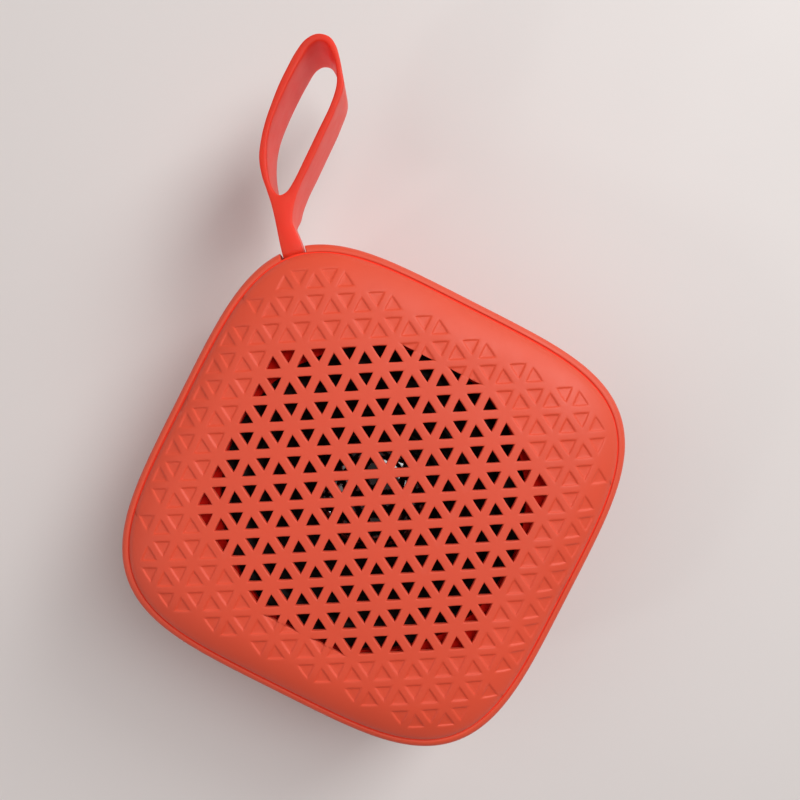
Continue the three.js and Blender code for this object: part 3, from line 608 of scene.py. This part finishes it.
def build_shell():
    NS = 288
    prof = [(31.0, 1.0), (31.6, 1.02), (32.3, 1.14)]
    z = 1.5
    steps = [1.5, 2.0, 2.6, 3.4, 4.4, 5.6, 7.0, 9.0, 11.0, 13.0, 15.5, 18.0, 21.0, 24.5, 28.0, 31.0, 33.4, 33.8]
    for z in steps: prof.append((pchip(OUT_Z, OUT_A, z), z))
    prof += [(43.17, 34.25), (43.08, 34.62), (42.92, 34.95), (42.70, 35.22), (42.45, 35.41), (42.20, 35.52), (41.98, 35.55), (41.85, 35.50), (41.78, 35.38), (41.75, 35.2), (41.75, 34.5), (41.75, 33.1), (41.6, 33.0), (41.1, 33.0), (41.1, 32.6)]
    for zz, a in ((28, 41.0), (21, 40.6), (17, 40.0), (13, 39.2), (10, 38.3), (8, 37.3), (6, 35.9), (4.6, 34.5), (3.5, 32.8), (2.9, 31.4)):
        prof.append((a, zz))
    B = Builder()
    rings = []
    for i, (a, z) in enumerate(prof):
        rings.append(superellipse(a, 4.0, NS, z))
    B.rings(rings)
    shell = B.make("rear_shell_moulding", None)
    P = Builder()
    for sx, sy in ((1, 1), (-1, 1), (-1, -1), (1, -1)):
        P.rings(lathe([(2.7, 2.2), (2.7, 33.2)], 40, sx * SCREW_XY, sy * SCREW_XY))
    px, py = along(PIN_R)
    P.rings(lathe([(2.2, 2.4), (2.2, 27.2)], 32, px, py))
    P.rings([to_z(round_rect(24, 1.2, 0.3, 3, 0, -21.2), 2.4), to_z(round_rect(24, 1.2, 0.3, 3, 0, -21.2), 7)])
    bosses = P.make("bosses", None)
    hull = Builder(); hull.rings([superellipse(a - 0.35, 4.0, 96, z) for a, z in prof[2:21]] + [superellipse(42.5, 4.0, 96, 36.0)])
    boolean(bosses, hull.make("hull", None), "INTERSECT")
    boolean(shell, bosses, "UNION")
    C = Builder()
    for sx, sy in ((1, 1), (-1, 1), (-1, -1), (1, -1)):
        x, y = sx * SCREW_XY, sy * SCREW_XY
        C.rings(lathe([(2.75, -1.0), (2.75, 1.0), (2.45, 2.6), (2.45, 5.4), (1.45, 5.4), (1.45, 34.5)], 40, x, y))
    C.rings([to_z(round_rect(44.9, 44.9, 9.1, 10), 0.5), to_z(round_rect(44.9, 44.9, 9.1, 10), 1.05), to_z(round_rect(44.6, 44.6, 9, 10), 1.2), to_z(round_rect(44.6, 44.6, 9, 10), 1.9)])

    def port(pts_fn, y_wall, y_in):
        """A hole through the wall with a small chamfer at its mouth."""
        C.rings([to_y(pts_fn(0), y_in), to_y(pts_fn(0), y_wall - 0.22), to_y(pts_fn(0.28), y_wall + 0.10), to_y(pts_fn(0.28), 48)][::-1])
    walls = {-19.5: 42.42, -6.5: 42.85, 6.5: 42.85, 19.5: 42.42}
    for x in KEY_X:
        port(lambda g, x=x: round_rect(9.0 + 2 * g, 4.4 + 2 * g, 2.19 + g, 8, x, KEY_Z), walls[x], 39.0)
    port(lambda g: round_rect(9.4 + 2 * g, 4.6 + 2 * g, 1.6 + g, 8, 7, PORT_Z), 41.65, 37.0)
    port(lambda g: circle(3.6 + g, 48, -3.5, PORT_Z), 41.7, 37.0)
    port(lambda g: round_rect(12.6 + 2 * g, 2.6 + 2 * g, 0.9 + g, 6, -16, PORT_Z), 41.5, 36.0)
    port(lambda g: round_rect(6.2 + 2 * g, 2.8 + 2 * g, 0.9 + g, 6, 18.5, PORT_Z), 41.35, 36.0)
    port(lambda g: circle(1.3 + 0.3 * g, 24, 0, 19.2), 42.4, 39.0)
    port(lambda g: circle(0.55 + 0.3 * g, 20, 13, 19.2), 42.35, 38.0)
    for pr in ([-2.55, 2.55],):
        pts = lambda w, u0, u1: [along(u0, -w), along(u1, -w), along(u1, w), along(u0, w)]
        C.rings([to_z(pts(2.55, 46.6, 54), 27.2), to_z(pts(2.55, 46.6, 54), 35.1), to_z(pts(2.75, 46.6, 54), 35.45), to_z(pts(2.75, 46.6, 54), 41)])
    C.rings(lathe([(1.3, 22.2), (1.3, 28.0)], 24, px, py))
    boolean(shell, C.make("cutters", None), "DIFFERENCE")
    weld(shell, 0.001)
    shade(shell, 28)
    return shell


shell = finish_piece(build_shell(), "root", ["rear_shell"], "case_plastic")

# ------------------------------------------------------------------ back pad
B = Builder()
prof = [(0.9, 0.0), (0.45, 0.03), (0.15, 0.14), (0.0, 0.4), (0.0, 1.6)]
B.rings([to_z(round_rect(43.9 - 2 * d, 43.9 - 2 * d, 8.6 - d, 12), z) for d, z in prof])
pad = B.make("back_pad_rubber", 30)
finish_piece(pad, "root", ["back_pad"], "pad_rubber")

# ------------------------------------------------------------------ keys
def build_key(i):
    x, face = KEY_X[i], (42.95 if i in (0, 3) else 43.4)
    B = Builder()
    rr = lambda g: round_rect(8.4 - 2 * g, 3.8 - 2 * g, 1.89 - g, 10, x, KEY_Z)
    fl = lambda g: round_rect(9.8 - 2 * g, 5.4 - 2 * g, 1.5 - g, 10, x, KEY_Z)
    rows = [to_y(fl(0.15), 37.9), to_y(fl(0), 38.05), to_y(fl(0), 38.6), to_y(fl(0.1), 38.7), to_y(rr(0), 38.7)]
    for g, d in ((0, 0.55), (0.03, 0.33), (0.12, 0.15), (0.28, 0.045), (0.50, 0.0)):
        rows.append(to_y(rr(g), face - d))
    # dished face: the rings sink a little towards the middle
    for g, d in ((0.85, 0.03), (1.25, 0.075), (1.6, 0.10)):
        rows.append(to_y(rr(g), face - d))
    B.rings(rows[::-1])
    return B.make(f"key_{KEY_NAMES[i]}_cap", 40), x, face


def add_icon(name, x, face, shapes, body):
    """Raised signs on a key: each shape is a closed outline in x and z about the key's centre."""
    B = Builder()
    for pts in shapes:
        c = (sum(p[0] for p in pts) / len(pts), sum(p[1] for p in pts) / len(pts))
        sh = lambda g: [(x - c[0] - (p[0] - c[0]) * (1 - g), KEY_Z + c[1] + (p[1] - c[1]) * (1 - g)) for p in pts]
        B.rings([to_y(sh(0), face - 0.2), to_y(sh(0), face + 0.12), to_y(sh(0.05), face + 0.17), to_y(sh(0.16), face + 0.19)][::-1])
    ob = B.make(name, 30)
    finish_piece(ob, body, [], "key_plastic")
    return ob


bar = lambda w, h, cx=0, cy=0: round_rect(w, h, min(w, h) * 0.45, 4, cx, cy)
for i in range(4):
    key, x, face = build_key(i)
    n = KEY_NAMES[i]
    finish_piece(key, f"{n}_button", [f"key_{n}"], "key_plastic")
    if n == "minus": sh = [bar(1.9, 0.34)]
    elif n == "plus": sh = [round_rect(0.34, 1.9, 0.15, 4), round_rect(0.72, 0.34, 0.15, 4, 0.60, 0), round_rect(0.72, 0.34, 0.15, 4, -0.60, 0)]
    elif n == "play": sh = [[(-1.35, -0.8), (0.05, 0.0), (-1.35, 0.8)][::1], round_rect(0.34, 1.5, 0.15, 4, 0.55, 0), round_rect(0.34, 1.5, 0.15, 4, 1.15, 0)]
    else: sh = [round_rect(0.75, 0.62, 0.22, 4, -0.78, 0.0), round_rect(0.75, 0.62, 0.22, 4, 0.78, 0.0), round_rect(0.9, 0.34, 0.12, 4, 0, 0.17)]
    add_icon(f"key_{n}_sign", x, face - 0.09, sh, f"{n}_button")

# ------------------------------------------------------------------ driver
def turned(name, profile, n=120, r=0.12, angle=40, seg=3):
    B = Builder(); B.rings(lathe(fillet(profile, r, seg), n), close=True)
    return B.make(name, angle)


# cone: a film cone pressed with fine rings
top_line = []; 
for i in range(61):
    t = i / 60; r = 10.6 + (22.6 - 10.6) * t; z = 28.45 + (33.55 - 28.45) * (t ** 0.92)
    z += 0.16 * math.sin(t * 2 * math.pi * 9) * min(1, t * 6) * min(1, (1 - t) * 6)
    top_line.append((r, z))
prof = [(9.95, 28.3)] + top_line + [(23.2, 33.85), (24.0, 33.9), (24.0, 33.4), (23.0, 33.2)] + [(r, z - 0.38) for r, z in reversed(top_line)] + [(9.95, 27.95)]
B = Builder(); B.rings(lathe(prof, 144), close=True)
cone = B.make("cone_film", 60); finish_piece(cone, "cone", ["cone"], "cone_film")

prof_top = [(0.0, 33.9)] ; Rs = 23.0
for i in range(1, 25):
    r = 12.6 * i / 24; prof_top.append((r, 33.9 - 0.9 * (r / 13) ** 2 - 3.1 * (r / 13) ** 4.5))
zb = prof_top[-1][1]
prof_top += [(12.9, zb - 0.12), (13.0, zb - 0.30)]
under = [(12.7, zb - 0.42)] + [(r, z - 0.30) for r, z in reversed(prof_top[1:-3])] + [(0.0, 33.6)]
allp = prof_top + under
B = Builder()
rings_ = lathe([(max(r, 0.0005), z) for r, z in allp], 120)
B.rings(rings_)
cap = B.make("dust_cap_film", 60); finish_piece(cap, "cone", ["dust_cap"], "cone_film", "cap_film")

roll = [(22.7, 34.2), (24.2, 34.2)]
for i in range(13):
    a = math.pi * (1 - i / 12); roll.append((26.05 + 1.45 * math.cos(a), 34.35 + 1.25 * math.sin(a)))
roll += [(27.9, 34.2), (29.6, 34.2), (29.6, 34.6), (28.2, 34.6)]
for i in range(15):
    a = math.pi * (i / 14); roll.append((26.05 + 1.85 * math.cos(a), 34.45 + 1.55 * math.sin(a)))
roll += [(24.1, 34.6), (22.7, 34.6)]


def flexing_ring(name, profile, parts, per, node, slot, angle):
    """A ring cut into equal sectors, each a separate mesh turned from the same profile."""
    for q in range(parts):
        rings = []
        for i in range(per + 1):
            a = 2 * math.pi * (q + i / per) / parts
            rings.append([(r * math.cos(a), r * math.sin(a), z) for r, z in profile])
        B = Builder(); B.rings(rings)
        ob = B.make(f"{name}_{q + 1}", angle)
        ob.data.materials.clear(); ob.data.materials.append(M[slot])
        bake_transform(ob)
        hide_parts(node)


flexing_ring("surround_roll", roll, 12, 14, "surround", "surround_rubber", 45)

# ------------------------------------------------------------------ round parts get finer bodies
finish_piece(turned("gasket_ring", [(29.9, 34.2), (31.5, 34.2), (31.5, 35.0), (29.9, 35.0)], r=0.2), "root", ["driver_gasket"], "foam")
finish_piece(turned("top_plate_ring", [(10.0, 19.8), (18.0, 19.8), (18.0, 22.3), (10.0, 22.3)], r=0.25), "root", ["top_plate"], "steel")
finish_piece(turned("magnet_ring", [(11.0, 13.0), (20.0, 13.0), (20.0, 19.5), (11.0, 19.5)], r=0.5), "root", ["magnet"], "ferrite")
yk = fillet([(0.0005, 9.9), (18.0, 9.9), (18.5, 10.4), (18.5, 12.7), (8.6, 12.7), (8.6, 22.3), (0.0005, 22.3)], 0.35, 3, closed=False)
B = Builder(); B.rings(lathe(yk, 120)); finish_piece(B.make("yoke_pole", 40), "root", ["yoke"], "steel")
sp = [(9.95, 25.0), (11.2, 25.0)]
for i in range(33):
    t = i / 32; sp.append((11.4 + 6.0 * t, 25.35 - 0.35 * math.cos(t * 2 * math.pi * 3)))
sp += [(17.8, 25.0), (20.1, 25.0), (20.1, 25.3), (17.8, 25.3)]
for i in range(33):
    t = 1 - i / 32; sp.append((11.4 + 6.0 * t, 25.65 - 0.35 * math.cos(t * 2 * math.pi * 3)))
sp += [(11.2, 25.3), (9.95, 25.3)]
flexing_ring("spider_disc", sp, 8, 12, "spider", "spider_cloth", 60)
coil = [(8.95, 19.9), (9.5, 19.9)]
for i in range(29):
    coil.append((9.5 + (0.09 if i % 2 else 0.0), 20.0 + 4.1 * i / 28))
coil += [(9.25, 24.3), (9.25, 29.0), (8.95, 29.0)]
B = Builder(); B.rings(lathe(coil, 96), close=True); finish_piece(B.make("voice_coil_winding", 30), "cone", ["voice_coil"], "copper")

# audio jack: a smooth nose with a bore through it
B = Builder()
B.rings([to_y(round_rect(6.6 - 2 * g, 6.0 - 2 * g, 0.5, 5, -3.5, PORT_Z), y) for g, y in ((0.15, 35.1), (0, 35.25), (0, 37.85), (0.15, 38.0))][::-1])
jack = B.make("jack_body", None)
P = Builder(); P.rings([to_y(circle(2.9 - g, 64, -3.5, PORT_Z), y) for g, y in ((0, 37.5), (0, 38.75), (0.15, 38.9))][::-1])
boolean(jack, P.make("nose", None), "UNION")
C = Builder(); C.rings([to_y(circle(1.8 + g, 64, -3.5, PORT_Z), y) for g, y in ((0, 35.9), (0, 38.7), (0.25, 38.95), (0.25, 40))][::-1])
boolean(jack, C.make("bore", None), "DIFFERENCE"); weld(jack, 0.001); shade(jack, 35)
finish_piece(jack, "root", ["audio_jack"], "dark_plastic")

# ------------------------------------------------------------------ carry strap
LOOP_OUT = [(-42.1, 40.4), (-43.85, 42.42), (-45.86, 44.42), (-47.86, 46.42), (-49.86, 49.3), (-51.2, 53.0), (-51.95, 56.4), (-52.4, 60.0), (-52.7, 63.3), (-52.76, 66.53), (-52.6, 70.8), (-51.96, 73.74), (-50.4, 75.7), (-48.06, 76.24), (-46.2, 75.3), (-44.86, 73.94), (-43.0, 71.6), (-41.35, 69.04), (-40.65, 64.0), (-40.45, 58.73), (-40.3, 53.0), (-40.2, 48.03), (-39.7, 44.42), (-38.35, 40.92)]
LOOP_IN = [(-43.1, 44.45), (-45.0, 45.2), (-46.76, 47.12), (-48.46, 49.82), (-49.86, 53.03), (-50.6, 55.9), (-50.96, 58.73), (-51.2, 64.0), (-51.1, 69.44), (-50.7, 73.0), (-49.6, 74.5), (-48.06, 74.84), (-46.6, 74.0), (-44.86, 72.34), (-42.85, 69.0), (-42.05, 65.0), (-41.9, 58.73), (-41.8, 53.0), (-41.76, 48.03), (-42.1, 45.6)]
BAND_LOW, BAND_HIGH, STEM_LOW = 20.0, 35.4, 27.5


def closed_spline(pts, step):
    P = [Vector(p) for p in pts]; n = len(P); out = []
    for i in range(n):
        p0, p1, p2_, p3 = P[i - 1], P[i], P[(i + 1) % n], P[(i + 2) % n]
        # centripetal knots keep the curve from looping at uneven spacing
        t0 = 0.0; t1 = t0 + math.sqrt((p1 - p0).length); t2 = t1 + math.sqrt((p2_ - p1).length); t3 = t2 + math.sqrt((p3 - p2_).length)
        m = max(1, round((p2_ - p1).length / step))
        for q in range(m):
            t = t1 + (t2 - t1) * q / m
            a1 = p0 * ((t1 - t) / (t1 - t0)) + p1 * ((t - t0) / (t1 - t0))
            a2 = p1 * ((t2 - t) / (t2 - t1)) + p2_ * ((t - t1) / (t2 - t1))
            a3 = p2_ * ((t3 - t) / (t3 - t2)) + p3 * ((t - t2) / (t3 - t2))
            b1 = a1 * ((t2 - t) / (t2 - t0)) + a2 * ((t - t0) / (t2 - t0))
            b2 = a2 * ((t3 - t) / (t3 - t1)) + a3 * ((t - t1) / (t3 - t1))
            c = b1 * ((t2 - t) / (t2 - t1)) + b2 * ((t - t1) / (t2 - t1))
            out.append((c.x, c.y))
    return out


def inside_poly(poly, x, y):
    c = False; j = len(poly) - 1
    for i in range(len(poly)):
        if (poly[i][1] > y) != (poly[j][1] > y) and x < (poly[j][0] - poly[i][0]) * (y - poly[i][1]) / (poly[j][1] - poly[i][1]) + poly[i][0]: c = not c
        j = i
    return c


def build_strap():
    """One silicone moulding: an eye round the pin, the stem, and the loop."""
    px, py = along(PIN_R)
    ang = math.atan2(SD[1], SD[0])
    eye = [(px + 2.4 * math.cos(ang + math.radians(a)), py + 2.4 * math.sin(ang + math.radians(a))) for a in range(-90, -271, -18)]
    outer = eye + [along(47.3, 2.2), along(48.4, 2.06), along(49.5, 2.05), along(50.6, 2.05), along(51.8, 2.04), along(53.2, 2.0), along(54.8, 1.92), along(56.5, 1.82)] + LOOP_OUT + \
        [along(54.8, -1.62), along(53.2, -1.85), along(51.8, -2.0), along(50.6, -2.05), along(49.5, -2.05), along(48.4, -2.06), along(47.3, -2.2)]
    def area2(p): return sum(p[i - 1][0] * p[i][1] - p[i][0] * p[i - 1][1] for i in range(len(p)))
    loops2 = [(closed_spline(outer, 0.40), 1), (closed_spline(LOOP_IN, 0.40), -1), (circle(1.2, 28, px, py), -1)]
    loops2 = [(p if area2(p) * sgn > 0 else p[::-1]) for p, sgn in loops2]

    def offset(poly, d):
        m = len(poly); out = []
        for i in range(m):
            a, b = Vector(poly[i - 1]), Vector(poly[(i + 1) % m]); t = (b - a).normalized()
            out.append((poly[i][0] - t.y * d, poly[i][1] + t.x * d))
        return out

    R = 0.36
    prof = [(R * (1 - math.cos(math.radians(q))), R * (1 - math.sin(math.radians(q)))) for q in (0, 30, 60, 90)]

    def z_low(x, y):
        u = uv(x, y)[0] - HINGE_R
        t = min(1.0, max(0.0, (u - 4.4) / 4.4)); t = t * t * (3 - 2 * t)
        return STEM_LOW + (BAND_LOW - STEM_LOW) * t

    def z_high(x, y):
        u = uv(x, y)[0] - HINGE_R
        t = min(1.0, max(0.0, (u + 0.9) / 0.8))
        return 34.55 + (BAND_HIGH - 34.55) * t

    V, F, ends = [], [], []
    for n_loop, poly in enumerate(loops2):
        r = 0.5 if n_loop == 2 else 1.0
        rows = []
        for ins, drop in reversed(prof): rows.append([(q[0], q[1], z_high(*q) - drop * r) for q in offset(poly, ins * r)])
        for t in (0.9, 0.75, 0.6, 0.45, 0.3, 0.15): rows.append([(q[0], q[1], z_low(*q) + R + (z_high(*q) - z_low(*q) - 2 * R) * t) for q in poly])
        for ins, drop in prof: rows.append([(q[0], q[1], z_low(*q) + drop * r) for q in offset(poly, ins * r)])
        # the first and last rows sit on the flat faces
        ids = []
        for row in rows:
            ids.append(list(range(len(V), len(V) + len(row)))); V.extend(row)
        for a, b in zip(ids, ids[1:]):
            m = len(a)
            for i in range(m):
                j = (i + 1) % m
                F.append((a[i], b[i], b[j], a[j]))
        ends.append((ids[0], ids[-1]))
    for lvl, up in ((0, True), (1, False)):
        rings_ = [e[lvl] for e in ends]
        ids = [k for r in rings_ for k in r]
        pos = {k: i for i, k in enumerate(ids)}
        ce = [(pos[r[i]], pos[r[(i + 1) % len(r)]]) for r in rings_ for i in range(len(r))]
        vo, eo, fo, ov, oe, of_ = delaunay_2d_cdt([Vector(V[k][:2]) for k in ids], ce, [], 0, 1e-6)
        real = []
        for k, o in enumerate(ov):
            if o: real.append(ids[o[0]])
            else:
                x, y = vo[k]; V.append((x, y, z_high(x, y) if up else z_low(x, y))); real.append(len(V) - 1)
        polys = [[V[k][:2] for k in r] for r in rings_]
        for tri in fo:
            g = sum((vo[k] for k in tri), Vector((0, 0))) / 3
            if not inside_poly(polys[0], g.x, g.y) or inside_poly(polys[1], g.x, g.y) or inside_poly(polys[2], g.x, g.y): continue
            t = [real[k] for k in tri]
            a, b, c = (Vector(V[k][:2]) for k in t)
            if ((b - a).cross(c - a) > 0) != up: t = t[::-1]
            F.append(tuple(t))
    ob = new_object("carry_strap", V, F, None)
    weld(ob, 0.001, True)
    shade(ob, 50)
    return ob


strap = build_strap()
strap.data.materials.append(M["strap_silicone"])
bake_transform(strap)
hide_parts("strap_anchor", "strap_loop")

# ------------------------------------------------------------------ floor and light
fm = material("pale_floor", (0.78, 0.77, 0.76), 0.65, vary=0.012, vary_scale=8, bump=0.05, bump_scale=400)
bpy.ops.mesh.primitive_plane_add(size=4.0, location=(0, 0, -0.0002))
floor = bpy.context.object; floor.name = "floor"; floor.data.materials.append(fm)


def area(name, loc, target, size, power, color=(1, 1, 1), size_y=None):
    d = bpy.data.lights.new(name, "AREA"); d.energy, d.color = power, color
    d.shape = "RECTANGLE"; d.size, d.size_y = size, size_y or size
    o = bpy.data.objects.new(name, d); bpy.context.scene.collection.objects.link(o)
    o.location = loc
    o.rotation_mode = "QUATERNION"
    o.rotation_quaternion = (Vector(target) - Vector(loc)).to_track_quat("-Z", "Y")
    return o


area("key", (0.20, 0.54, 0.44), (0, 0, 0.03), 0.27, 1.95, (1.0, 0.985, 0.97))
area("top", (0.22, 0.42, 0.88), (0, 0, 0.03), 0.55, 4.4, (1.0, 0.99, 0.98))
area("fill", (-0.35, -0.45, 0.41), (0, 0, 0.03), 0.08, 0.26, (1.0, 0.97, 0.96))
area("soft", (-0.42, -0.15, 0.62), (0, 0, 0.03), 0.6, 0.9, (1.0, 0.88, 0.85))
world = bpy.data.worlds.new("studio"); bpy.context.scene.world = world
world.use_nodes = True
world.node_tree.nodes["Background"].inputs["Color"].default_value = (1.0, 0.82, 0.80, 1)
world.node_tree.nodes["Background"].inputs["Strength"].default_value = 0.16
